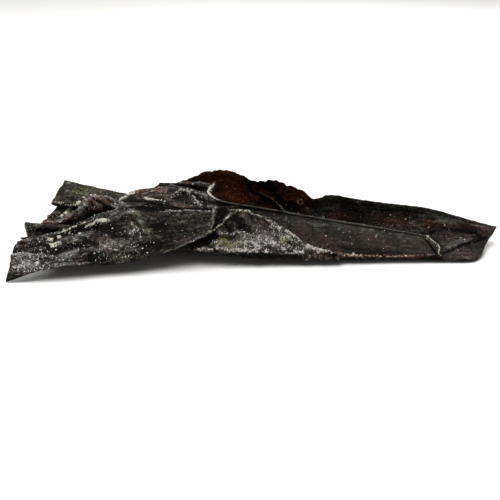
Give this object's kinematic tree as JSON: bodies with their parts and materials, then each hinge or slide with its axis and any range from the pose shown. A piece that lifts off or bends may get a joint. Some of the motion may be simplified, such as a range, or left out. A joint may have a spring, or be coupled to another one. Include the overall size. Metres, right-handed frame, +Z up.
{
  "type": "dried kelp blade",
  "caption": "A long dried kelp blade lying folded: an open trough with a front flap, a domed fold over its middle and a broad front sheet over flat pleats at the left",
  "frame": {"origin": "centre of the footprint box at floor level", "axes": "+X along the blade towards its plain pointed end, +Y towards the back wall of the trough, +Z up"},
  "size_m": [0.3052, 0.0926, 0.0415],
  "materials": {
    "kelp": "dry, leathery, half matt, with white salt bloom"
  },
  "bodies": {
    "root": {"kelp_blade": "kelp"}
  },
  "joints": []
}
